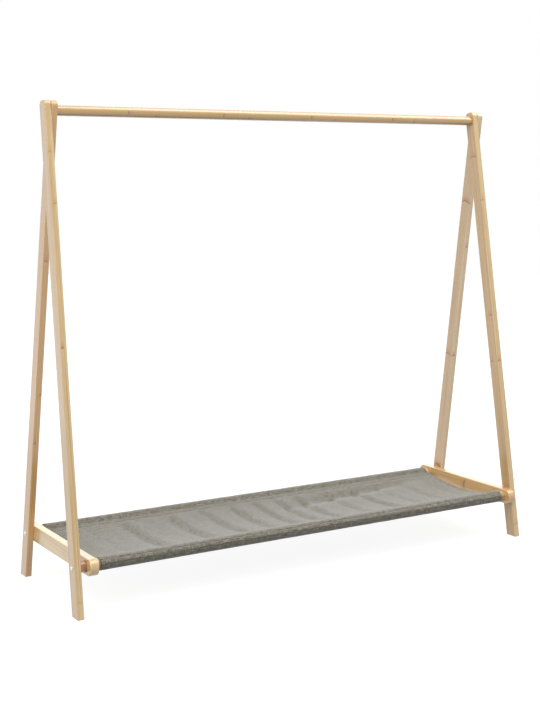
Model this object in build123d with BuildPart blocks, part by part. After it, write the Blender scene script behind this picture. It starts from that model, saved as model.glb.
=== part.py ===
from build123d import *
import os
from math import atan2, cos, pi, radians, sin

# Bamboo clothes rack: two A-shaped ends, a round hanging rail and a low cloth shelf on two dowels.
# Millimetres. X runs along the rail, -Y is the front and +Z is up.
# The origin is on the floor under the middle of the rack.
# The right end is the left end turned half a turn about Z.

# Whole rack
rail_height = 1082.5  # floor to the rail's axis
foot_spread = 343.0  # between the leg centre lines, on the floor
rail_length = 1190.0  # between the inner faces of the two ends

# Legs, flat boards that lean against each other in neighbouring planes
leg_thickness = 15.0
leg_width = 32.0
leg_top = 23.0  # rail's axis to the leg's square end, along the leg
leg_end_flat = 8.0  # straight part of that end, between its round corners
leg_edge_radius = 1.5

# Rail and shelf dowels
rail_diameter = 24.0
dowel_diameter = 25.0
rod_end_chamfer = 0.6
shelf_height = 103.5  # floor to the dowels' axis

# Shelf crossbars and the spacers behind the outer legs
crossbar_overhang = 32.4  # dowel's axis to the bar's round tip
crossbar_height = 36.0
crossbar_thickness = 20.0
crossbar_edge_radius = 2.0
spacer_diameter = 25.0

# Bolts and threaded inserts
bolt_diameter = 5.0
bolt_hole_clearance = 0.25
head_diameter = 9.5
head_height = 2.75
head_rim_height = 0.7
socket_width = 3.0
socket_depth = 1.4
insert_diameter = 8.0
insert_length = 12.0
insert_clearance = 0.1
thread_clearance = 0.1
bolt_engagement = 11.0
hole_run_out = 4.0

# Bamboo plugs that hide the rail bolts, flush with the outer legs
plug_margin = 1.25  # plug's edge past the bolt's head
plug_thickness = 4.0
plug_clearance = 0.1

# Cloth sling
cloth_thickness = 1.4
sleeve_clearance = 0.3
sling_end_gap = 11.0  # bare dowel between a sleeve and its crossbar
seam_angle = 18.0  # where the panel joins a sleeve, above the dowel's axis
panel_sag = 12.0  # seam to the lowest line of the panel
fold_count = 11  # soft folds from front to back
fold_depth = 5.0  # crest to valley, at mid-shelf
sections_per_fold = 4

# Places worked out from the sizes above
LEFT, RIGHT = -1, 1
FRONT, REAR = -1, 1
lean = atan2(foot_spread / 2, rail_height)
leg_corner_radius = (leg_width - leg_end_flat) / 2
dowel_offset = foot_spread / 2 * (1 - shelf_height / rail_height)
crossbar_length = 2 * (dowel_offset + crossbar_overhang)
inner_leg_face = rail_length / 2
outer_leg_face = inner_leg_face + leg_thickness
crossbar_face = inner_leg_face - crossbar_thickness
end_face = outer_leg_face + leg_thickness
rail_bolt_seat = end_face - plug_thickness - head_height
bolt_hole_radius = bolt_diameter / 2 + bolt_hole_clearance
plug_radius = head_diameter / 2 + plug_margin

os.makedirs("parts", exist_ok=True)


def keep(piece, name):
    """Label a finished piece and write its file."""
    piece.part.label = name
    export_step(piece.part, f"parts/{name}.step")


def slab_plane(end, near_face, thickness):
    """Plane across X at the low-X face of a slab whose inner face is near_face from the middle."""
    return Plane.YZ.offset(near_face if end == RIGHT else -near_face - thickness)


def end_plane(end, distance, y, z):
    """Plane across X at a distance from the middle, facing out of the given end."""
    return Plane(origin=(end * distance, y, z), x_dir=(0, end, 0), z_dir=(end, 0, 0))


def is_outer(end, side):
    """The left front and right rear legs are the outer boards of their ends."""
    return end == side


def make_leg(end, side):
    """Leaning board: square top with round corners, level cut at the floor, two bolt holes."""
    near_face = outer_leg_face if is_outer(end, side) else inner_leg_face
    plane = slab_plane(end, near_face, leg_thickness)
    half_width = leg_width / 2
    foot_half_width = half_width / cos(lean)
    foot_y = side * foot_spread / 2
    top_y = -side * leg_top * sin(lean)
    top_z = rail_height + leg_top * cos(lean)
    across = (side * half_width * cos(lean), half_width * sin(lean))
    outer_foot = (foot_y + side * foot_half_width, 0)
    inner_foot = (foot_y - side * foot_half_width, 0)
    outer_top = (top_y + across[0], top_z + across[1])
    inner_top = (top_y - across[0], top_z - across[1])
    with BuildPart() as leg:
        with BuildSketch(plane) as outline:
            with BuildLine():
                Polyline(inner_foot, inner_top, outer_top, outer_foot, close=True)
            make_face()
            fillet(outline.vertices().sort_by(Axis.Y)[-2:], leg_corner_radius)
        extrude(amount=leg_thickness)
        floor_face = leg.faces().sort_by(Axis.Z)[0]
        side_edges = leg.faces().filter_by(Axis.X).edges() - floor_face.edges()
        fillet(side_edges, leg_edge_radius)
        with BuildSketch(plane):
            with Locations((0, rail_height), (side * dowel_offset, shelf_height)):
                Circle(bolt_hole_radius)
        extrude(amount=leg_thickness, mode=Mode.SUBTRACT)
        if is_outer(end, side):
            with BuildSketch(end_plane(end, end_face, 0, rail_height)):
                Circle(plug_radius + plug_clearance)
            extrude(amount=rail_bolt_seat - end_face, mode=Mode.SUBTRACT)
    return leg


def make_rod(diameter, length, y, z):
    """Round rod along X, with a blind hole for a threaded insert in each end."""
    with BuildPart() as rod:
        with Locations(Location((0, y, z), (0, 90, 0))):
            Cylinder(diameter / 2, length)
        chamfer(rod.edges().filter_by(GeomType.CIRCLE), rod_end_chamfer)
        for end in (LEFT, RIGHT):
            with Locations(end_plane(end, length / 2, y, z).location):
                Hole(insert_diameter / 2 + insert_clearance, insert_length + hole_run_out)
    return rod


def make_crossbar(end):
    """Flat bar with round ends, bolted between the legs and the dowels."""
    plane = slab_plane(end, crossbar_face, crossbar_thickness)
    with BuildPart() as bar:
        with BuildSketch(plane):
            with Locations((0, shelf_height)):
                SlotOverall(crossbar_length, crossbar_height)
        extrude(amount=crossbar_thickness)
        fillet(bar.faces().filter_by(Axis.X).edges(), crossbar_edge_radius)
        with BuildSketch(plane):
            with Locations((-dowel_offset, shelf_height), (dowel_offset, shelf_height)):
                Circle(bolt_hole_radius)
        extrude(amount=crossbar_thickness, mode=Mode.SUBTRACT)
    return bar


def make_spacer(end, side):
    """Short round piece that fills the gap between a crossbar and an outer leg."""
    plane = slab_plane(end, inner_leg_face, leg_thickness)
    with BuildPart() as spacer:
        with BuildSketch(plane):
            with Locations((side * dowel_offset, shelf_height)):
                Circle(spacer_diameter / 2)
                Circle(bolt_hole_radius, mode=Mode.SUBTRACT)
        extrude(amount=leg_thickness)
    return spacer


def make_bolt(end, head_seat, rod_end, y, z):
    """Button-head bolt with a hex socket, from its seat in a leg into the insert in a rod's end."""
    seat = end_plane(end, head_seat, y, z)
    length = head_seat - rod_end + bolt_engagement
    outward = Axis(seat.origin, seat.z_dir)
    with BuildPart() as bolt:
        with BuildSketch(seat):
            Circle(head_diameter / 2)
        extrude(amount=head_height)
        rim = bolt.edges().filter_by(GeomType.CIRCLE).sort_by(outward)[-1]
        fillet(rim, head_height - head_rim_height)
        with BuildSketch(seat.offset(head_height)):
            RegularPolygon(socket_width / 2, 6, major_radius=False)
        extrude(amount=-socket_depth, mode=Mode.SUBTRACT)
        with BuildSketch(seat):
            Circle(bolt_diameter / 2)
        extrude(amount=-length)
    return bolt


def make_plug(end):
    """Round plug over a rail bolt's head, flush with the outer leg."""
    with BuildPart() as plug:
        with BuildSketch(end_plane(end, end_face, 0, rail_height)):
            Circle(plug_radius)
        extrude(amount=-plug_thickness)
    return plug


def make_insert(end, rod_end, y, z):
    """Threaded insert, flush with the end of its rod."""
    with BuildPart() as insert:
        with BuildSketch(end_plane(end, rod_end, y, z)):
            Circle(insert_diameter / 2)
            Circle(bolt_diameter / 2 + thread_clearance, mode=Mode.SUBTRACT)
        extrude(amount=-insert_length)
    return insert


end_names = {LEFT: "left", RIGHT: "right"}
side_names = {FRONT: "front", REAR: "rear"}
corners = [(end, side) for end in (LEFT, RIGHT) for side in (FRONT, REAR)]

# Legs, spacers, and the shelf bolts and inserts at each corner
for end, side in corners:
    corner = f"{end_names[end]}_{side_names[side]}"
    shelf_axis = (side * dowel_offset, shelf_height)
    leg_face = outer_leg_face if is_outer(end, side) else inner_leg_face
    keep(make_leg(end, side), f"{corner}_leg")
    if is_outer(end, side):
        keep(make_spacer(end, side), f"{corner}_spacer")
    keep(make_bolt(end, leg_face + leg_thickness, crossbar_face, *shelf_axis), f"{corner}_shelf_bolt")
    keep(make_insert(end, crossbar_face, *shelf_axis), f"{corner}_shelf_insert")

# Hanging rail, its bolts, plugs and inserts, and the crossbar of each end
keep(make_rod(rail_diameter, rail_length, 0, rail_height), "hanging_rail")
for end in (LEFT, RIGHT):
    name = end_names[end]
    keep(make_bolt(end, rail_bolt_seat, inner_leg_face, 0, rail_height), f"{name}_rail_bolt")
    keep(make_plug(end), f"{name}_rail_plug")
    keep(make_insert(end, inner_leg_face, 0, rail_height), f"{name}_rail_insert")
    keep(make_crossbar(end), f"{name}_shelf_crossbar")

# Shelf dowels
for side in (FRONT, REAR):
    dowel = make_rod(dowel_diameter, 2 * crossbar_face, side * dowel_offset, shelf_height)
    keep(dowel, f"{side_names[side]}_shelf_dowel")

# Cloth sling: a sleeve round each dowel, and a sagging panel with soft folds that run from front to back
sling_length = 2 * (crossbar_face - sling_end_gap)
sleeve_inner_radius = dowel_diameter / 2 + sleeve_clearance
sleeve_outer_radius = sleeve_inner_radius + cloth_thickness
seam_radius = (sleeve_inner_radius + sleeve_outer_radius) / 2
seam_y = dowel_offset - seam_radius * cos(radians(seam_angle))
seam_top = shelf_height + seam_radius * sin(radians(seam_angle)) + cloth_thickness / 2
seam_bottom = seam_top - cloth_thickness
section_count = fold_count * sections_per_fold + 1

with BuildPart() as shelf_sling:
    for section in range(section_count):
        section_x = sling_length * (section / (section_count - 1) - 0.5)
        sag = panel_sag + fold_depth / 2 * cos(2 * pi * section / sections_per_fold)
        with BuildSketch(Plane.YZ.offset(section_x)):
            with BuildLine():
                ThreePointArc((-seam_y, seam_top), (0, seam_top - sag), (seam_y, seam_top))
                Line((seam_y, seam_top), (seam_y, seam_bottom))
                ThreePointArc((seam_y, seam_bottom), (0, seam_bottom - sag), (-seam_y, seam_bottom))
                Line((-seam_y, seam_bottom), (-seam_y, seam_top))
            make_face()
    loft(ruled=True)
    with BuildSketch(Plane.YZ.offset(-sling_length / 2)):
        with Locations((-dowel_offset, shelf_height), (dowel_offset, shelf_height)):
            Circle(sleeve_outer_radius)
            Circle(sleeve_inner_radius, mode=Mode.SUBTRACT)
    extrude(amount=sling_length)
keep(shelf_sling, "shelf_sling")
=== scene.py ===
from math import asin, atan2, ceil, cos, exp, pi, radians, sin

import bmesh
import bpy
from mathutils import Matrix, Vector, noise


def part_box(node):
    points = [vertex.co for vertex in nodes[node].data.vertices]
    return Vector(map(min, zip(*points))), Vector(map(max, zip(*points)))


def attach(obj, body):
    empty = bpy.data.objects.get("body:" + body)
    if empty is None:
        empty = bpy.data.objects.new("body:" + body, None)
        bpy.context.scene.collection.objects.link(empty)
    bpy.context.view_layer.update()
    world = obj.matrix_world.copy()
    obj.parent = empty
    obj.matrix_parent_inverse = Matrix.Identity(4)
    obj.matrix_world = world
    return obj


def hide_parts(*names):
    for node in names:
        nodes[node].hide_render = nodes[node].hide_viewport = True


# Bamboo clothes rack with a grey cloth shelf. Metres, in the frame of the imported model:
# X runs along the rail, -Y is the front and +Z is up.

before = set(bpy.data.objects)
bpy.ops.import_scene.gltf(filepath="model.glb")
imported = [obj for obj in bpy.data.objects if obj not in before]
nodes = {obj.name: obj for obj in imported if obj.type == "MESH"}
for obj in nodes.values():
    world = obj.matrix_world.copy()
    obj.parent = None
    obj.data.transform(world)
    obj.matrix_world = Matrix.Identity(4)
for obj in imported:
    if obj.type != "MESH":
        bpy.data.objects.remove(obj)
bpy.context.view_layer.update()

MM = 0.001
BODY = "root"
X_AXIS, Y_AXIS, Z_AXIS = (1, 0, 0), (0, 1, 0), (0, 0, 1)
WHITE = (1, 1, 1, 1)

# Photograph's view
IMAGE_WIDTH, IMAGE_HEIGHT = 540, 720
SENSOR = 36.0
FOCAL_PIXELS = 1314.67
CAMERA_PLACE = (-1.71531, -2.74143, 0.94989)
CAMERA_YAW = 31.4988  # degrees, to the right of +Y
CAMERA_PITCH = 1.5  # degrees down
HORIZON_SHIFT = -0.215649

# Light
AMBIENT = 0.40  # strength of the white surroundings where they aren't seen directly
FLOOR_RADIUS = 9.0
FLOOR_SEGMENTS = 96
FLOOR_TONE = 0.22
FLOOR_GLOW = 0.91  # near the rack, where the lamps do the rest
FLOOR_WHITE = (1.2, 3.0)  # the floor turns plain white between these distances
SOFTBOXES = [  # name, place, aim, width, height and power in watts
    ("overhead", (-1.9, -2.1, 3.9), (0, 0, 0.4), 4.4, 3.2, 98),
    ("window", (-11.0, -2.6, 3.8), (0, 0, 0.4), 6.9, 5.5, 312),
    ("ceiling", (1.6, -0.7, 3.2), (0.3, -0.2, 0.6), 2.2, 2.8, 58),
    ("back", (1.7, 3.6, 1.3), (-0.1, 0, 0.15), 4.4, 1.5, 17),
    ("side", (-1.5, 1.6, 0.7), (-0.5, 0, 0.6), 1.0, 1.4, 1.2),
]

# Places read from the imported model
rail_low, rail_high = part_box("hanging_rail")
dowel_low, dowel_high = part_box("rear_shelf_dowel")
rail_height = (rail_low.z + rail_high.z) / 2
dowel_y = (dowel_low.y + dowel_high.y) / 2
dowel_z = (dowel_low.z + dowel_high.z) / 2
sling_half_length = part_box("shelf_sling")[1].x
lean = atan2(dowel_y, rail_height - dowel_z)


def linear(red, green, blue):
    """Colour from 0 to 255 as seen on a screen, as linear RGBA."""
    def channel(value):
        value /= 255
        return value / 12.92 if value <= 0.04045 else ((value + 0.055) / 1.055) ** 2.4
    return (channel(red), channel(green), channel(blue), 1.0)


def blend(first, second, share):
    """Colour between two, for a share from 0 to 1."""
    return tuple(a + (b - a) * share for a, b in zip(first, second))


class Shader:
    """A material's node tree, with a short call for each kind of node."""

    def __init__(self, name):
        self.material = bpy.data.materials.new(name)
        self.material.use_nodes = True
        self.tree = self.material.node_tree
        self.surface = self.tree.nodes["Principled BSDF"]

    def feed(self, socket, value):
        if isinstance(value, bpy.types.NodeSocket):
            self.tree.links.new(value, socket)
        else:
            socket.default_value = value

    def add(self, kind, inputs=None, **settings):
        node = self.tree.nodes.new(kind)
        for key, value in settings.items():
            setattr(node, key, value)
        for socket, value in (inputs or {}).items():
            self.feed(node.inputs[socket], value)
        return node

    def math(self, operation, *values):
        return self.add("ShaderNodeMath", dict(enumerate(values)), operation=operation).outputs[0]

    def times(self, first, second):
        return self.math("MULTIPLY", first, second)

    def vector(self, x, y, z):
        return self.add("ShaderNodeCombineXYZ", {0: x, 1: y, 2: z}).outputs[0]

    def vector_math(self, operation, inputs, output="Vector"):
        return self.add("ShaderNodeVectorMath", inputs, operation=operation).outputs[output]

    def dot(self, vector, direction):
        return self.vector_math("DOT_PRODUCT", {0: vector, 1: direction}, "Value")

    def length(self, vector):
        return self.vector_math("LENGTH", {0: vector}, "Value")

    def ramp(self, value, low, high, start=0.0, end=1.0):
        """Smooth step from start at low to end at high."""
        inputs = {"Value": value, "From Min": low, "From Max": high, "To Min": start, "To Max": end}
        return self.add("ShaderNodeMapRange", inputs, interpolation_type="SMOOTHSTEP").outputs[0]

    def noise(self, vector, detail=2.0):
        inputs = {"Vector": vector, "Scale": 1.0, "Detail": detail}
        return self.add("ShaderNodeTexNoise", inputs).outputs[0]

    def chance(self, vector):
        """A value from 0 to 1 that jumps with the vector."""
        node = self.add("ShaderNodeTexWhiteNoise", {"Vector": vector}, noise_dimensions="3D")
        return node.outputs["Value"]

    def mix(self, factor, first, second):
        return self.add("ShaderNodeMix", {0: factor, 6: first, 7: second}, data_type="RGBA").outputs[2]

    def bump(self, height, distance, strength=1.0):
        inputs = {"Height": height, "Distance": distance, "Strength": strength}
        return self.add("ShaderNodeBump", inputs).outputs[0]

    def finish(self, **sockets):
        for name, value in sockets.items():
            self.feed(self.surface.inputs[name.replace("_", " ")], value)
        return self.material


# Bamboo

BAMBOO_LIGHT = linear(230, 202, 147)
BAMBOO_DARK = linear(211, 173, 111)
BAMBOO_LINE = linear(176, 128, 78)
BAMBOO_RING = linear(112, 78, 34)
BAMBOO_BLUSH = linear(192, 128, 76)
# honey colour: painted shade and warm bounce on the left rear leg, and partly on the right crossbar, where
# it is also own tone
BAMBOO_HONEY_AND_PAINTED_SHADE = linear(222, 156, 80)
# painted light: a paler colour for the right rear leg, standing in for more light on it
BAMBOO_PAINTED_LIGHT_PALE = linear(244, 224, 190)
BAMBOO_AMBER = linear(189, 141, 34)
# painted shade: a deep red-brown for the spacers, which sit in shade between leg and crossbar
BAMBOO_PAINTED_SHADE_CHERRY = linear(160, 86, 8)
PIECE_TINTS_AND_PAINTED_LIGHT = {  # a colour mixed into some pieces, and how far they take it: other canes' own tone, and painted light and shade
    # painted shade: the left rear leg is darkened and warmed as if it stood in the front leg's shade, with
    # warm bounce light
    "left_rear_leg": (BAMBOO_HONEY_AND_PAINTED_SHADE, 0.40),
    # painted light: the right rear leg is made paler to stand in for more light on its inner faces
    "right_rear_leg": (BAMBOO_PAINTED_LIGHT_PALE, 0.45),
    "hanging_rail": (BAMBOO_AMBER, 0.80),
    # the right crossbar's own darker, warmer tone, which also stands in as painted shade on its inner face
    "right_shelf_crossbar": (BAMBOO_HONEY_AND_PAINTED_SHADE, 0.38),
    # painted shade: the spacers are darkened and reddened for the shade and warm bounce between leg and
    # crossbar
    "left_front_spacer": (BAMBOO_PAINTED_SHADE_CHERRY, 0.93),
    "right_rear_spacer": (BAMBOO_PAINTED_SHADE_CHERRY, 0.93),
}
FIGURE = {"left_shelf_crossbar": 0.35}  # strength of a piece's streaks and glue lines, where not 1

# Layers and strips
LAYER = 5.0 * MM  # thickness of one glued layer
STRIP = 19.0 * MM  # width of one strip of a layer
LAYER_SHIFT = 0.37  # from one layer's strips to the next one's, in strips
PIECE_SHIFT = 0.31  # from one piece's strips to the next one's, in strips
STRIP_VARIETY = 40.0  # how far apart the strips lie in the noise
LAYER_GLUE = (0.44, 0.49)  # from a layer's middle, where its glue line starts and where it is full
STRIP_GLUE = (0.483, 0.498)  # the same for a strip
GLUE_SHARE = 0.42

# Fibres: their length, their width and the detail of their noise
BANDS = (420 * MM, 5.5 * MM, 1.0)
STREAKS = (330 * MM, 2.3 * MM, 1.0)
GRAIN = (50 * MM, 0.8 * MM, 3.0)
PORES = (7 * MM, 0.35 * MM, 0.0)
CLOUD_LENGTH = 110 * MM

# Tone, from the light colour at 0 to the dark one at 1
STRIP_TONE, STRIP_TONE_RANGE = 0.30, 0.36
BAND_TONE, STREAK_TONE, GRAIN_TONE, CLOUD_TONE = 1.5, 1.3, 0.6, 0.8
STREAK_LIMITS, STREAK_SHARE = (0.09, 0.27), 0.70  # the noise between which dark lines grow
PORE_LIMITS, PORE_SHARE = (0.14, 0.24), 0.25

# Growth rings
RING_WANDER, WANDER_RATE = 7 * MM, 190.0
RING_BOW = 0.35
RING_FADE = (0.7, 1.15)  # shares of the half width between which a ring fades
RING_LINE = (0.6 * MM, 3.0 * MM)  # distances between which its line fades
BLUSH_START, BLUSH_LENGTH = (-1.5 * MM, 1.0 * MM), 20 * MM
RING_SHARE, BLUSH_SHARE = 0.60, 0.60

# End grain
END_FACING = (0.75, 0.97)
FIBRE_END_RATE = 1100.0
FIBRE_END_LIMITS, FIBRE_END_SHARE = (0.15, 0.4), 0.55

# Surface
PORE_DEPTH, RING_DEPTH = 0.35, 0.6  # as shares of the grain's relief
BAMBOO_RELIEF = 0.03 * MM
BAMBOO_ROUGHNESS, GRAIN_ROUGHNESS = 0.42, 0.22
LACQUER, LACQUER_RAIL = 1.75, 2.0  # the clear lacquer's index of refraction
LACQUER_ROUGHNESS = 0.18


def glue_lines(s, layer_place, strip_place):
    """1 on the lines between layers and between strips."""
    lines = []
    for place, limits in ((layer_place, LAYER_GLUE), (strip_place, STRIP_GLUE)):
        from_middle = s.math("ABSOLUTE", s.math("SUBTRACT", s.math("FRACT", place), 0.5))
        lines.append(s.ramp(from_middle, *limits))
    return s.math("MAXIMUM", *lines)


def growth_rings(s, u, v, w, own, marks):
    """Short bowed lines that fade at their ends, and a blush along the grain above each of them."""
    wander = s.times(s.noise(s.vector(s.times(v, WANDER_RATE), s.times(w, WANDER_RATE), own)), RING_WANDER)
    ring, blush = 0.0, 0.0
    for at, side, depth, reach, strength in marks:
        aside = s.length(s.vector(s.math("SUBTRACT", v, side), s.math("SUBTRACT", w, depth), 0.0))
        bow = s.times(s.times(aside, aside), RING_BOW / reach)
        above = s.math("SUBTRACT", u, at - RING_WANDER / 2)
        distance = s.math("ADD", above, s.math("SUBTRACT", bow, wander))
        inside = s.ramp(aside, RING_FADE[0] * reach, RING_FADE[1] * reach, strength, 0.0)
        line = s.ramp(s.math("ABSOLUTE", distance), *RING_LINE, 1.0, 0.0)
        stain = s.times(s.ramp(distance, 0.0, BLUSH_LENGTH, 1.0, 0.0), s.ramp(distance, *BLUSH_START))
        ring = s.math("MAXIMUM", ring, s.times(line, inside))
        blush = s.math("MAXIMUM", blush, s.times(stain, inside))
    return ring, blush


def end_grain(s, normal, along, v, w, own):
    """The fibres' cut ends, where the surface faces along the grain."""
    facing = s.math("ABSOLUTE", s.dot(normal, along))
    where = s.vector(s.times(v, FIBRE_END_RATE), s.times(w, FIBRE_END_RATE), own)
    dots = s.add("ShaderNodeTexVoronoi", {"Vector": where, "Scale": 1.0}).outputs["Distance"]
    fibre_end = s.ramp(dots, *FIBRE_END_LIMITS, FIBRE_END_SHARE, 0.0)
    return s.times(s.ramp(facing, *END_FACING), fibre_end)


def bamboo(name, origin, along, across, through, marks, seed):
    """Laminated bamboo: strips glued in layers, long fibres and growth rings.

    along, across and through are the grain's direction, the strips' width and the layers' depth.
    marks are growth rings: a place along those directions from the origin, a half width and a strength.
    """
    s = Shader(name)
    # a piece's tint: own tone on some pieces, painted light on the right rear leg and painted shade on the
    # left rear leg and the spacers
    tint_and_painted_light, tint_and_painted_light_share = PIECE_TINTS_AND_PAINTED_LIGHT.get(name, (BAMBOO_HONEY_AND_PAINTED_SHADE, 0.0))
    light, dark = blend(BAMBOO_LIGHT, tint_and_painted_light, tint_and_painted_light_share), blend(BAMBOO_DARK, tint_and_painted_light, tint_and_painted_light_share)
    figure = FIGURE.get(name, 1.0)
    place = s.add("ShaderNodeTexCoord").outputs
    offset = s.vector_math("SUBTRACT", {0: place["Object"], 1: origin})
    u, v, w = s.dot(offset, along), s.dot(offset, across), s.dot(offset, through)

    layer_place = s.math("MULTIPLY_ADD", w, 1 / LAYER, 0.5 + seed)
    layer = s.math("FLOOR", layer_place)
    strip_start = s.math("MULTIPLY_ADD", v, 1 / STRIP, PIECE_SHIFT * seed)
    strip_place = s.math("MULTIPLY_ADD", layer, LAYER_SHIFT, strip_start)
    strip = s.math("FLOOR", strip_place)
    chance = s.chance(s.vector(strip, layer, seed + 0.5))
    own = s.times(chance, STRIP_VARIETY)

    def fibres(length, width, detail):
        """Noise drawn out along the grain, different in each strip, from -0.5 to 0.5."""
        where = s.vector(
            s.math("MULTIPLY_ADD", u, 1 / length, own),
            s.math("MULTIPLY_ADD", v, 1 / width, own),
            s.times(w, 1 / width),
        )
        return s.math("SUBTRACT", s.noise(where, detail), 0.5)

    band, streak, grain, pores = (fibres(*sizes) for sizes in (BANDS, STREAKS, GRAIN, PORES))
    cloud = s.noise(s.vector(s.times(u, 1 / CLOUD_LENGTH), own, seed), detail=1.0)
    cloud = s.math("SUBTRACT", cloud, 0.5)

    tone = s.math("MULTIPLY_ADD", chance, STRIP_TONE_RANGE, STRIP_TONE)
    parts = ((band, BAND_TONE), (streak, STREAK_TONE), (grain, GRAIN_TONE), (cloud, CLOUD_TONE))
    for part, weight in parts:
        tone = s.math("MULTIPLY_ADD", part, weight, tone)
    colour = s.mix(s.math("MINIMUM", s.math("MAXIMUM", tone, 0.0), 1.0), light, dark)
    colour = s.mix(s.ramp(streak, *STREAK_LIMITS, 0.0, STREAK_SHARE * figure), colour, BAMBOO_LINE)
    colour = s.mix(s.ramp(pores, *PORE_LIMITS, 0.0, PORE_SHARE), colour, BAMBOO_LINE)
    glue = glue_lines(s, layer_place, strip_place)
    colour = s.mix(s.times(glue, GLUE_SHARE * figure), colour, BAMBOO_LINE)

    relief = grain
    if marks:
        ring, blush = growth_rings(s, u, v, w, own, marks)
        colour = s.mix(s.times(blush, BLUSH_SHARE), colour, BAMBOO_BLUSH)
        colour = s.mix(s.times(ring, RING_SHARE), colour, BAMBOO_RING)
        relief = s.math("MULTIPLY_ADD", ring, -RING_DEPTH, relief)
    relief = s.math("MULTIPLY_ADD", pores, -PORE_DEPTH, relief)
    colour = s.mix(end_grain(s, place["Normal"], along, v, w, own), colour, BAMBOO_LINE)
    return s.finish(
        Base_Color=colour,
        Roughness=s.math("MULTIPLY_ADD", grain, GRAIN_ROUGHNESS, BAMBOO_ROUGHNESS),
        Normal=s.bump(relief, BAMBOO_RELIEF),
        Specular_IOR_Level=0.5,
        Coat_Weight=1.0,
        Coat_Roughness=LACQUER_ROUGHNESS,
        Coat_IOR=LACQUER_RAIL if name == "hanging_rail" else LACQUER,
    )


def leg_axes(side):
    """Grain up the leg, across its width and through its thickness, for the front (-1) or rear (1)."""
    return (0, -side * sin(lean), cos(lean)), (0, cos(lean), side * sin(lean)), X_AXIS


def in_metres(marks):
    """Growth rings with their places and half widths turned from millimetres to metres."""
    return [(*(size * MM for size in sizes), strength) for *sizes, strength in marks]


def dress(name, material):
    nodes[name].data.materials.clear()
    nodes[name].data.materials.append(material)


# Growth rings of the legs: millimetres up, across and through the leg, half width, and a strength
FRONT_EDGE, INNER_SIDE = -16, -7.5
LEG_MARKS = {
    "left_front_leg": [
        (33, FRONT_EDGE, -2, 7, 0.2),
        (571, FRONT_EDGE, -3, 4, 1),
        (886, FRONT_EDGE, 3, 6, 0.55),
        (1000, FRONT_EDGE, -3, 6, 0.45),
    ],
    "left_rear_leg": [
        (328, FRONT_EDGE, -3, 3, 1),
        (444, FRONT_EDGE, 4, 3, 1),
        (758, FRONT_EDGE, -1, 5, 0.8),
    ],
    "right_front_leg": [
        (30, FRONT_EDGE, 0, 8, 0.4),
        (128, -2, INNER_SIDE, 12, 1),
        (452, 6, INNER_SIDE, 5, 1),
        (453, FRONT_EDGE, -2, 5, 1),
        (574, -6, INNER_SIDE, 7, 1),
        (880, FRONT_EDGE, -3, 6, 0.6),
        (1000, -1, INNER_SIDE, 14, 0.8),
    ],
    "right_rear_leg": [
        (125, 0, INNER_SIDE, 12, 1),
        (446, 4, INNER_SIDE, 12, 1),
        (445, FRONT_EDGE, -4, 5, 1),
        (752, FRONT_EDGE, 0, 4, 1),
        (877, -2, INNER_SIDE, 15, 1.25),
    ],
}
for seed, (name, marks) in enumerate(LEG_MARKS.items()):
    low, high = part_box(name)
    side = -1 if "front" in name else 1
    foot = (low.x / 2 + high.x / 2, side * dowel_y * rail_height / (rail_height - dowel_z), 0)
    dress(name, bamboo(name, foot, *leg_axes(side), in_metres(marks), seed))
for end, leg in (("left", "left_front_leg"), ("right", "right_rear_leg")):
    dress(f"{end}_rail_plug", nodes[leg].data.materials[0])

# Growth rings of the crossbars: millimetres along, up and through the bar, half width, and a strength
BAR_MARKS = {
    "left_shelf_crossbar": [],
    "right_shelf_crossbar": [(-6, -3, -10, 16, 1)],
}
for seed, (name, marks) in enumerate(BAR_MARKS.items(), start=5):
    low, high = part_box(name)
    dress(name, bamboo(name, (low + high) / 2, Y_AXIS, Z_AXIS, X_AXIS, in_metres(marks), seed))

# Growth rings of the rail, in the same way: the first ring of each of two rows along it
RAIL_ROWS = [(-420, -2, -12, 4.5, 1.25), (-349, -8.5, -8.5, 5.0, 1.1)]
RING_PITCH, RINGS_IN_ROW = 249.5, 4
ROD_MARKS = {
    "hanging_rail": [(at + RING_PITCH * n, *rest) for at, *rest in RAIL_ROWS for n in range(RINGS_IN_ROW)],
    "front_shelf_dowel": [],
    "rear_shelf_dowel": [],
    "left_front_spacer": [],
    "right_rear_spacer": [],
}
for seed, (name, marks) in enumerate(ROD_MARKS.items(), start=8):
    low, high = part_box(name)
    middle = (low + high) / 2
    dress(name, bamboo(name, (0, middle.y, middle.z), X_AXIS, Z_AXIS, Y_AXIS, in_metres(marks), seed))


# Metal

STEEL_MOTTLE = 0.8 * MM
STEEL_DULL = 0.8  # brightness of the mottle's darker parts
SCRATCH_STRETCH = (1, 9, 1)
SCRATCH_ROUGHNESS = 0.25
SCRATCH_DEPTH = 0.01 * MM


def metal(name, tone, rough):
    """Plated steel with a faint mottle and fine scratches."""
    s = Shader(name)
    place = s.add("ShaderNodeTexCoord").outputs["Object"]
    scaled = s.vector_math("SCALE", {0: place, "Scale": 1 / STEEL_MOTTLE})
    mottle = s.noise(scaled, detail=4.0)
    scratch = s.noise(s.vector_math("MULTIPLY", {0: scaled, 1: SCRATCH_STRETCH}))
    dull = tuple(value * STEEL_DULL for value in tone[:3]) + (1.0,)
    return s.finish(
        Base_Color=s.mix(mottle, tone, dull),
        Metallic=1.0,
        Roughness=s.math("MULTIPLY_ADD", scratch, SCRATCH_ROUGHNESS, rough),
        Normal=s.bump(scratch, SCRATCH_DEPTH),
    )


BOLT_STEEL = metal("bolt_steel", linear(232, 228, 220), 0.38)
INSERT_ZINC = metal("insert_zinc", linear(196, 192, 180), 0.35)
for name in nodes:
    if name.endswith("_bolt"):
        dress(name, BOLT_STEEL)
    elif name.endswith("_insert"):
        dress(name, INSERT_ZINC)


# Cloth

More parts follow.
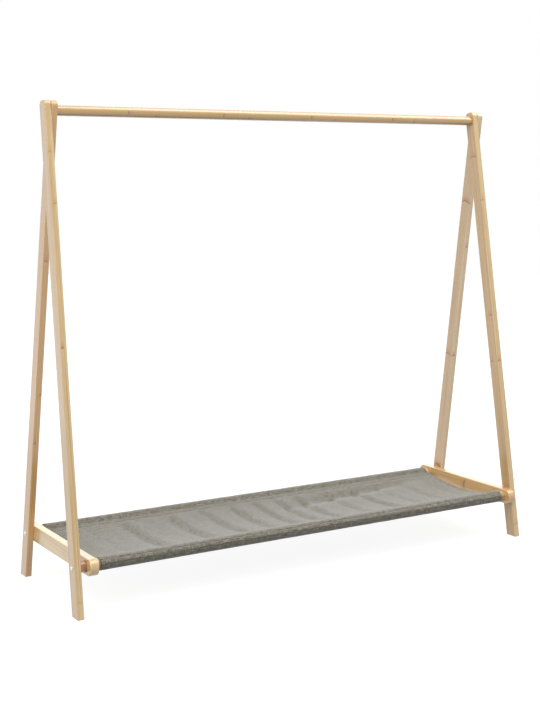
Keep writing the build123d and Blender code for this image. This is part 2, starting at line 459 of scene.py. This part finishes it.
CLOTH_TONE = linear(120, 115, 98)
CLOTH_PALE = linear(158, 153, 136)
CLOTH_DEEP = linear(74, 70, 56)
THREAD_TONE = linear(150, 147, 136)
THREAD_PALE = linear(170, 167, 156)
THREAD_DEEP = linear(118, 115, 106)
YARN = 0.8 * MM
SLUB_STEP, SLUB_RATE = 0.83, 45.0  # thick places of the yarns, from yarn to yarn and per metre of yarn
SLUB_PALE, SLUB_DEEP = (0.46, 0.72), (0.50, 0.28)  # the noise between which each colour grows
MOTTLE_RATES = (140.0, 140.0)  # per metre across and along
MOTTLE_LIMITS, MOTTLE_SHARE = (0.35, 0.75), 0.45
WARP_FLECK_RATES, WEFT_FLECK_RATES = (110.0, 400.0), (480.0, 70.0)
FLECK_PALE, FLECK_DEEP = (1.0, 1.22), (1.0, 0.78)
GAP_SHADE_LIMITS, GAP_SHADE_SHARE = (0.55, 0.0), 0.45  # painted shade in the gaps between the yarns
SLUB_RELIEF = 0.5  # as a share of a yarn's own
CLOTH_RELIEF, CLOTH_RELIEF_SHARE = 0.22 * MM, 0.8
CLOTH_ROUGHNESS, SLUB_ROUGHNESS = 0.45, 0.15


def woven_cloth(name, tone, pale, deep):
    """Plain weave of uneven grey yarns, laid out by the sheet's own flat coordinates in metres."""
    s = Shader(name)
    flat = s.add("ShaderNodeSeparateXYZ", {0: s.add("ShaderNodeTexCoord").outputs["UV"]}).outputs
    across = s.times(flat[0], 1 / YARN)
    along = s.times(flat[1], 1 / YARN)
    across_yarn = s.math("FLOOR", across)
    along_yarn = s.math("FLOOR", along)
    over = s.math("FLOORED_MODULO", s.math("ADD", across_yarn, along_yarn), 2.0)

    def on_top(warp, weft):
        """The value of the yarn that lies on top at a crossing."""
        return s.add("ShaderNodeMix", {0: over, 2: warp, 3: weft}, data_type="FLOAT").outputs[0]

    def bulge(place):
        """Height of the yarns side by side."""
        return s.math("ABSOLUTE", s.math("SINE", s.times(place, pi)))

    def speckle(rates, seed, detail=2.0):
        """Noise over the flat sheet, at rates across and along it."""
        return s.noise(s.vector(s.times(flat[0], rates[0]), s.times(flat[1], rates[1]), seed), detail)

    height = on_top(bulge(across), bulge(along))
    warp_slub = s.noise(s.vector(s.times(across_yarn, SLUB_STEP), s.times(flat[1], SLUB_RATE), 0.0))
    weft_slub = s.noise(s.vector(s.times(flat[0], SLUB_RATE), s.times(along_yarn, SLUB_STEP), 7.0))
    slub = on_top(warp_slub, weft_slub)
    mottle = speckle(MOTTLE_RATES, 3.0, detail=3.0)
    fleck = s.math("ADD", speckle(WARP_FLECK_RATES, 11.0), speckle(WEFT_FLECK_RATES, 17.0))

    colour = s.mix(s.ramp(slub, *SLUB_PALE), tone, pale)
    colour = s.mix(s.ramp(slub, *SLUB_DEEP), colour, deep)
    colour = s.mix(s.ramp(mottle, *MOTTLE_LIMITS, 0.0, MOTTLE_SHARE), colour, deep)
    colour = s.mix(s.ramp(fleck, *FLECK_PALE), colour, pale)
    colour = s.mix(s.ramp(fleck, *FLECK_DEEP), colour, deep)
    # painted shade: the colour darkens where the yarns dip, in the gaps between them
    colour = s.mix(s.ramp(height, *GAP_SHADE_LIMITS, 0.0, GAP_SHADE_SHARE), colour, deep)
    relief = s.math("MULTIPLY_ADD", slub, SLUB_RELIEF, height)
    return s.finish(
        Base_Color=colour,
        Roughness=s.math("MULTIPLY_ADD", slub, SLUB_ROUGHNESS, CLOTH_ROUGHNESS),
        Normal=s.bump(relief, CLOTH_RELIEF, CLOTH_RELIEF_SHARE),
        Sheen_Weight=0.7,
        Sheen_Roughness=0.5,
        Specular_IOR_Level=0.25,
    )


GREY_CLOTH = woven_cloth("grey_cloth", CLOTH_TONE, CLOTH_PALE, CLOTH_DEEP)
SEWING_THREAD = woven_cloth("sewing_thread", THREAD_TONE, THREAD_PALE, THREAD_DEEP)

# Sling, in millimetres until it becomes a mesh. A profile runs from the rear flap's edge, under the rear
# sleeve and over it, along the panel and round the front sleeve to the front flap's edge.
CLOTH_THICKNESS = 1.0
SLEEVE_RADIUS = 13.5  # to the middle of the cloth
LEAVE_ANGLE = 46.0  # where the cloth leaves the dowel, above and below its axis
SEAM_HEIGHT = 5.3  # panel's edge above the dowel's axis
PANEL_SAG = 13.1
STITCH_INSET = 31.0  # dowel's axis to the stitches that close a sleeve
FLAP_INSET = 34.4  # dowel's axis to the edge of the flap under the panel
FLAP_GAP = 1.1
FILLET = 2.5
TOPSTITCH_ANGLES = (5.0, 42.0)  # two rows on the sleeve's outer face, above the axis
HEM_WIDTH = 12.0
HEM_STITCH = 9.0
HEM_GAP = 1.1
HEM_BULGE = 0.55  # how far a hem's turn goes out, as a share of its gap
HEM_STEPS = 4
HEM_EASE = 10.0  # from a hem's inner edge to where the cloth lies as usual

# Spacing of the sling's mesh
FLAP_STEP, WRAP_STEP, PANEL_STEP, LENGTH_STEP = 1.4, 1.5, 4.5, 6.0
BEND_UP_POINTS, BEND_DOWN_POINTS = 9, 8
TOPSTITCH_REACH, TOPSTITCH_STEP = 2.4, 0.6  # finer on both sides of a row of stitches
SEAM_REACH, SEAM_STEP = 4.0, 0.8
SHORTEST_ROW = 0.3  # least length of cloth between two rows of the mesh

axis_y, axis_z = dowel_y / MM, dowel_z / MM
half_length = sling_half_length / MM
seam_y = axis_y - SLEEVE_RADIUS * cos(asin(SEAM_HEIGHT / SLEEVE_RADIUS))
seam_z = axis_z + SEAM_HEIGHT
stitch_y = axis_y - STITCH_INSET


def panel_z(y):
    """Height of the slack panel before its folds."""
    return seam_z - PANEL_SAG * (1 - min(1.0, abs(y) / seam_y) ** 2)


def curve(first, corner, last, count):
    """Points of a bend from first to last, drawn towards a corner."""
    points = []
    for step in range(count):
        t = step / (count - 1)
        points.append(first * (1 - t) ** 2 + corner * 2 * t * (1 - t) + last * t ** 2)
    return points


def meet(start, direction, edge, slope):
    """Where a line from start meets the line through edge with that slope."""
    t = (start.y - edge.y - slope * (start.x - edge.x)) / (slope * direction.x - direction.y)
    return start + direction * t


def spread(low, high, step, tight=(), reach=SEAM_REACH, fine=SEAM_STEP):
    """Values from low to high, closer together near the tight ones, which are among them."""
    values = {low, high}
    count = ceil((high - low) / step)
    values.update(low + (high - low) * index / count for index in range(1, count))
    for centre in tight:
        values = {value for value in values if abs(value - centre) > reach or value in (low, high)}
        steps = round(reach / fine)
        values.update(centre + fine * index for index in range(-steps, steps + 1))
    return sorted(value for value in values if low <= value <= high)


def on_sleeve(angle):
    """Point of the rear sleeve at an angle about the dowel's axis."""
    return Vector((axis_y + SLEEVE_RADIUS * cos(angle), axis_z + SLEEVE_RADIUS * sin(angle)))


def rear_profile():
    """Middle of the cloth, as (y, z), from the rear flap's edge to where the panel starts."""
    edge = Vector((seam_y, seam_z))
    under = Vector((seam_y, seam_z - FLAP_GAP))
    slope = 2 * PANEL_SAG / seam_y
    low_angle = radians(180 + LEAVE_ANGLE)
    high_angle = radians(540 - LEAVE_ANGLE)
    low_point, high_point = on_sleeve(low_angle), on_sleeve(high_angle)
    low_corner = meet(low_point, Vector((-sin(low_angle), cos(low_angle))), under, slope)
    high_corner = meet(high_point, Vector((-sin(high_angle), cos(high_angle))), edge, slope)
    flap_end = Vector((low_corner.x - FILLET, low_corner.y - slope * FILLET))
    panel_start = Vector((high_corner.x - FILLET, panel_z(high_corner.x - FILLET)))

    flap_places = spread(axis_y - FLAP_INSET, flap_end.x, FLAP_STEP)
    flap = [Vector((y, panel_z(y) - FLAP_GAP)) for y in flap_places]
    bend_up = curve(flap_end, low_corner, low_point, BEND_UP_POINTS)
    start, end = low_angle * SLEEVE_RADIUS, high_angle * SLEEVE_RADIUS
    tight = [radians(360 + angle) * SLEEVE_RADIUS for angle in TOPSTITCH_ANGLES]
    wrap_places = spread(start, end, WRAP_STEP, tight, TOPSTITCH_REACH, TOPSTITCH_STEP)
    wrap = [on_sleeve(place / SLEEVE_RADIUS) for place in wrap_places]
    bend_down = curve(high_point, high_corner, panel_start, BEND_DOWN_POINTS)
    return flap + bend_up[1:] + wrap[1:] + bend_down[1:]


rear = rear_profile()
panel_edge = rear[-1].x
panel_places = spread(-panel_edge, panel_edge, PANEL_STEP, (-stitch_y, stitch_y))
panel = [Vector((y, panel_z(y))) for y in panel_places]
front = [Vector((-point.x, point.y)) for point in reversed(rear)]
profile = rear + panel[-2:0:-1] + front
panel_first, panel_last = len(rear) - 1, len(profile) - len(rear)

# Folds of the panel: where each valley lies at the rear and at the front, its depth and its half width
FOLDS = [
    (-470, -464, 1.2, 18),
    (-381, -374, 5.0, 16),
    (-259, -253, 5.2, 16),
    (-166, -161, 4.4, 14),
    (-84, -87, 4.2, 13),
    (-14, -20, 4.0, 12),
    (49, 41, 4.4, 13),
    (109, 100, 4.2, 13),
    (199, 190, 3.4, 12),
    (278, 284, 4.0, 12),
    (352, 358, 1.8, 13),
    (438, 428, 2.4, 14),
    (512, 504, 1.4, 15),
]
VALLEY_DEPTH, VALLEY_WIDTH = 1.3, 0.8  # shares of a fold's depth and half width
CREST_HEIGHT, CREST_OFFSET, CREST_WIDTH = 0.5, 1.7, 1.1  # the same, for the crest beside the valley
FOLD_BOW = 5.0
FOLD_MARGIN, FOLD_EASE = 4.0, 55.0  # the folds start past the stitches and are full this far in
TROUGH = [(20, 36), (170, 77), (350, 98), (560, 140)]  # a long slack line towards the rear right corner
TROUGH_DEPTH, TROUGH_WIDTH = 10.0, 25.0
TROUGH_GROWS, TROUGH_FADES, TROUGH_LOSS = (-20.0, 220.0), (480.0, 564.0), 0.6
RIPPLES = [(48, 75, 3.1, 1.1), (17, 32, 8.7, 0.35)]  # length, width, seed and height
END_DIP, END_DIP_LENGTH = 3.2, 70.0  # the free ends of the panel hang lower

# Gathers beside stitches, and the sleeves' looseness
GATHERS = [(11, 0.4, 0.30), (4.3, 5.2, 0.12)]  # length, seed and height
SEAM_GROOVE, SEAM_GROOVE_WIDTH = 0.9, 3.0
SEAM_GATHER_WIDTH, SEAM_GATHER_SEED = 14.0, 40.0
TOPSTITCH_GROOVE, TOPSTITCH_GROOVE_WIDTH = 0.35, 1.5
TOPSTITCH_GATHER_WIDTH, TOPSTITCH_GATHER_SEED = 4.0, 20.0
HEM_GROOVE, HEM_GROOVE_WIDTH = 0.70, 1.8
SLEEVE_FLARE = 0.3  # the hem inside a sleeve's end opens it
SLEEVE_PUFF, PUFF_ANGLE = 1.1, 45.0  # slack between a sleeve's rows of stitches
SLEEVE_EDGE, EDGE_ANGLE, EDGE_SPREAD = 3.2, 14.0, 30.0  # a sleeve stands off its dowel, most at one angle
SLEEVE_RIPPLE, RIPPLE_LENGTH, RIPPLE_TURN, RIPPLE_SEED = 0.35, 37.0, 1.7, 11.0


def bell(distance, width):
    return exp(-((distance / width) ** 2))


def between(value, low, high):
    """Smooth step from 0 at low to 1 at high."""
    t = min(1.0, max(0.0, (value - low) / (high - low)))
    return t * t * (3 - 2 * t)


def trough_y(x):
    """The slack line's place across the panel, at x."""
    for (x0, y0), (x1, y1) in zip(TROUGH, TROUGH[1:]):
        if x <= x1:
            break
    return y0 + (y1 - y0) * (x - x0) / (x1 - x0)


def fold_height(x, y):
    """How far the panel's folds lift or lower it."""
    room = between(stitch_y + FOLD_MARGIN - abs(y), 0.0, FOLD_EASE)
    share = (y + stitch_y) / (2 * stitch_y)
    bow = FOLD_BOW * sin(pi * share)
    lift = 0.0
    for at_rear, at_front, depth, width in FOLDS:
        centre = at_front + (at_rear - at_front) * share - bow
        lift -= VALLEY_DEPTH * depth * bell(x - centre, VALLEY_WIDTH * width)
        lift += CREST_HEIGHT * depth * bell(x - centre - CREST_OFFSET * width, CREST_WIDTH * width)
    slack = between(x, *TROUGH_GROWS) * (1 - TROUGH_LOSS * between(x, *TROUGH_FADES))
    lift -= TROUGH_DEPTH * slack * bell(y - trough_y(x), TROUGH_WIDTH)
    ripple = sum(noise.noise((x / length, y / width, seed)) * high for length, width, seed, high in RIPPLES)
    dip = END_DIP * between(abs(x), half_length - END_DIP_LENGTH, half_length) * (1 - (y / stitch_y) ** 2)
    return room * (lift + ripple - dip)


def pucker(x, row):
    """Small gathers along a row of stitches."""
    return sum(noise.noise((x / length, row, seed)) * height for length, seed, height in GATHERS)


def row_places():
    """Along X: (place, share of a hem's turn). A hem turns under at each end and comes back."""
    tight = [half_length - HEM_STITCH, HEM_STITCH - half_length]
    flat = [(x, 0.0) for x in spread(-half_length, half_length, LENGTH_STEP, tight)]
    right_hem = []
    for step in range(1, HEM_STEPS):
        share = step / HEM_STEPS
        right_hem.append((half_length + HEM_BULGE * HEM_GAP * sin(pi * share), share))
    for step in range(HEM_STEPS + 1):
        right_hem.append((half_length - HEM_WIDTH * step / HEM_STEPS, 1.0))
    left_hem = [(-x, share) for x, share in reversed(right_hem)]
    return left_hem + flat + right_hem


def outward(index):
    """Unit normal of the profile on the cloth's right side."""
    before, after = profile[max(0, index - 1)], profile[min(len(profile) - 1, index + 1)]
    step = (after - before).normalized()
    return Vector((step.y, -step.x))


normals = [outward(index) for index in range(len(profile))]
lengths = [0.0]
for first, second in zip(profile, profile[1:]):
    lengths.append(lengths[-1] + (second - first).length)


def sleeve_push(x, side, angle, end):
    """How far a sleeve stands out, at an angle above its dowel's axis. end is 1 at the cloth's ends."""
    push, held = 0.0, 0.0
    for row in TOPSTITCH_ANGLES:
        from_row = (angle - radians(row)) * SLEEVE_RADIUS
        held = max(held, bell(from_row, TOPSTITCH_GROOVE_WIDTH))
        push += pucker(x, TOPSTITCH_GATHER_SEED * side + row) * bell(from_row, TOPSTITCH_GATHER_WIDTH)
    push += SLEEVE_RIPPLE * noise.noise((x / RIPPLE_LENGTH, angle * RIPPLE_TURN, RIPPLE_SEED * side))
    slack = bell(angle - radians(sum(TOPSTITCH_ANGLES) / 2), radians(PUFF_ANGLE))
    push += SLEEVE_FLARE * end + SLEEVE_PUFF * (1 - held) * slack - TOPSTITCH_GROOVE * held
    push += SLEEVE_EDGE * exp(-abs(angle - radians(EDGE_ANGLE)) / radians(EDGE_SPREAD))
    return push


def cloth_point(x, turn, index):
    """One point of the cloth's middle, with its folds, gathers and hems."""
    normal = normals[index]
    y, z = profile[index]
    from_axis = Vector((abs(y) - axis_y, z - axis_z))
    from_end = half_length - abs(x)
    end = 1 - between(from_end, HEM_WIDTH, HEM_WIDTH + HEM_EASE)
    push = 0.0
    if panel_first <= index <= panel_last:
        z += fold_height(x, y)
        push -= SEAM_GROOVE * bell(abs(y) - stitch_y, SEAM_GROOVE_WIDTH)
        push += pucker(x, y / SEAM_GATHER_SEED) * bell(abs(y) - stitch_y, SEAM_GATHER_WIDTH)
    elif abs(y) < panel_edge and from_axis.y < SEAM_HEIGHT:
        z -= 2 * HEM_GAP * end  # the flap gives way to the panel's hem
    else:
        push += sleeve_push(x, 1 if y > 0 else -1, atan2(from_axis.y, from_axis.x), end)
    push -= HEM_GAP * turn
    push -= HEM_GROOVE * bell(from_end - HEM_STITCH, HEM_GROOVE_WIDTH) * (1 - turn)
    return Vector((x, y + normal.x * push, z + normal.y * push))


rows = row_places()
grid = [[cloth_point(x, turn, index) for index in range(len(profile))] for x, turn in rows]


def new_piece(name, bm, material):
    """A mesh object in metres, from a bmesh in millimetres."""
    bmesh.ops.scale(bm, vec=(MM, MM, MM), verts=bm.verts)
    mesh = bpy.data.meshes.new(name)
    bm.to_mesh(mesh)
    bm.free()
    mesh.materials.append(material)
    mesh.shade_smooth()
    piece = bpy.data.objects.new(name, mesh)
    bpy.context.scene.collection.objects.link(piece)
    return piece


def make_sling():
    """The cloth, and how long it was cut."""
    bm = bmesh.new()
    layout = bm.loops.layers.uv.new("flat")
    verts = [[bm.verts.new(point) for point in row] for row in grid]
    travel = [0.0]
    for (x0, _), (x1, _) in zip(rows, rows[1:]):
        travel.append(travel[-1] + max(SHORTEST_ROW, abs(x1 - x0)))
    for r in range(len(rows) - 1):
        for c in range(len(profile) - 1):
            corners = ((r, c), (r, c + 1), (r + 1, c + 1), (r + 1, c))
            face = bm.faces.new([verts[row][column] for row, column in corners])
            for loop, (row, column) in zip(face.loops, corners):
                loop[layout].uv = (lengths[column] * MM, travel[row] * MM)
    piece = new_piece("shelf_sling_cloth", bm, GREY_CLOTH)
    thickness = piece.modifiers.new("thickness", "SOLIDIFY")
    thickness.thickness = CLOTH_THICKNESS * MM
    thickness.offset = 0.0
    return piece, travel[-1]


# Stitches
THREAD_RADIUS, THREAD_SIDES = 0.50, 6
STITCH_PITCH, STITCH_LENGTH = 4.8, 3.4
STITCH_RISE = [(0.0, -0.30), (0.18, 0.10), (0.5, 0.24), (0.82, 0.10), (1.0, -0.30)]  # share of it, height


def stitch(bm, start, end, normal):
    """One stitch of thread between two points of the cloth, dipping in at both ends."""
    along = (end - start).normalized()
    across = along.cross(normal).normalized()
    rings = []
    for share, height in STITCH_RISE:
        centre = start.lerp(end, share) + normal * (CLOTH_THICKNESS / 2 + height)
        ring = []
        for index in range(THREAD_SIDES):
            turn = 2 * pi * index / THREAD_SIDES
            ring.append(bm.verts.new(centre + (across * cos(turn) + normal * sin(turn)) * THREAD_RADIUS))
        rings.append(ring)
    for low, high in zip(rings, rings[1:]):
        for index in range(THREAD_SIDES):
            after = (index + 1) % THREAD_SIDES
            bm.faces.new((low[index], low[after], high[after], high[index]))
    bm.faces.new(reversed(rings[0]))
    bm.faces.new(rings[-1])


def stitch_row(bm, points, sides):
    """Stitches at an even pitch along points of the cloth, with the side they lie on at each point."""
    distance = 0.0
    due = STITCH_PITCH
    pending = None
    for first, second, normal in zip(points, points[1:], sides):
        step = (second - first).length
        while due <= distance + step:
            spot = first.lerp(second, (due - distance) / step)
            if pending is None:
                pending = spot
                due += STITCH_LENGTH
            else:
                stitch(bm, pending, spot, normal)
                pending = None
                due += STITCH_PITCH - STITCH_LENGTH
        distance += step


def nearest_column(target, allowed):
    return min(allowed, key=lambda index: (profile[index] - target).length)


def make_stitching():
    """Thread of the seams along the sleeves and of the hems."""
    bm = bmesh.new()
    flat_rows = [index for index, (_, turn) in enumerate(rows) if turn == 0.0]
    columns = []
    for side in (-1, 1):
        target = Vector((side * stitch_y, panel_z(stitch_y)))
        columns.append(nearest_column(target, range(panel_first, panel_last + 1)))
        for angle in TOPSTITCH_ANGLES:
            reach = SLEEVE_RADIUS * cos(radians(angle))
            target = Vector((side * (axis_y + reach), axis_z + SLEEVE_RADIUS * sin(radians(angle))))
            columns.append(nearest_column(target, range(len(profile))))
    for column in columns:
        points = [grid[row][column] for row in flat_rows]
        normal = Vector((0, *normals[column]))
        stitch_row(bm, points, [normal] * len(points))
    first = sum(1 for point in rear if point.x < panel_edge) // 2  # a hem's stitches start on the flap
    last = len(profile) - first
    for target in (HEM_STITCH - half_length, half_length - HEM_STITCH):
        row = min(flat_rows, key=lambda index: abs(rows[index][0] - target))
        points = grid[row][first:last]
        stitch_row(bm, points, [Vector((0, *normal)) for normal in normals[first:last]])
    return new_piece("sling_stitching", bm, SEWING_THREAD)


sling, cut_length = make_sling()
stitching = make_stitching()
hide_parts("shelf_sling")
for piece in (sling, stitching):
    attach(piece, BODY)


# Stage, light and camera

def seen_directly(tree):
    """1 for rays that show a background: those of the camera, of reflections and of clear things."""
    rays = tree.nodes.new("ShaderNodeLightPath").outputs
    total = rays["Is Camera Ray"]
    for name in ("Is Glossy Ray", "Is Transmission Ray"):
        larger = tree.nodes.new("ShaderNodeMath")
        larger.operation = "MAXIMUM"
        tree.links.new(total, larger.inputs[0])
        tree.links.new(rays[name], larger.inputs[1])
        total = larger.outputs[0]
    return total


def make_floor():
    bm = bmesh.new()
    bmesh.ops.create_circle(bm, cap_ends=True, segments=FLOOR_SEGMENTS, radius=FLOOR_RADIUS / MM)
    s = Shader("floor")
    distance = s.length(s.add("ShaderNodeTexCoord").outputs["Object"])
    level = s.ramp(distance, *FLOOR_WHITE, FLOOR_GLOW, 1.0)
    s.finish(
        Base_Color=(FLOOR_TONE, FLOOR_TONE, FLOOR_TONE, 1.0),
        Roughness=1.0,
        Specular_IOR_Level=0.0,
        Emission_Color=WHITE,
        Emission_Strength=s.times(seen_directly(s.tree), level),
    )
    new_piece("floor", bm, s.material)


def make_world():
    world = bpy.data.worlds.new("studio")
    world.use_nodes = True
    tree = world.node_tree
    background = tree.nodes["Background"]
    background.inputs["Color"].default_value = WHITE
    level = tree.nodes.new("ShaderNodeMapRange")
    level.inputs["To Min"].default_value = AMBIENT
    tree.links.new(seen_directly(tree), level.inputs["Value"])
    tree.links.new(level.outputs[0], background.inputs["Strength"])
    bpy.context.scene.world = world


def softbox(name, place, aim, width, height, power):
    light = bpy.data.lights.new(name, "AREA")
    light.shape = "RECTANGLE"
    light.size, light.size_y = width, height
    light.energy = power
    lamp = bpy.data.objects.new(name, light)
    lamp.location = place
    lamp.rotation_euler = (Vector(aim) - Vector(place)).to_track_quat("-Z", "Y").to_euler()
    lamp.visible_camera = False
    bpy.context.scene.collection.objects.link(lamp)


def make_camera():
    data = bpy.data.cameras.new("camera")
    data.sensor_width = SENSOR
    data.lens = FOCAL_PIXELS * SENSOR / max(IMAGE_WIDTH, IMAGE_HEIGHT)
    data.shift_y = HORIZON_SHIFT
    camera = bpy.data.objects.new("camera", data)
    camera.location = CAMERA_PLACE
    camera.rotation_euler = (radians(90 - CAMERA_PITCH), 0, radians(-CAMERA_YAW))
    bpy.context.scene.collection.objects.link(camera)
    bpy.context.scene.camera = camera


make_floor()
make_world()
for settings in SOFTBOXES:
    softbox(*settings)
make_camera()
bpy.context.scene.view_settings.view_transform = "Standard"
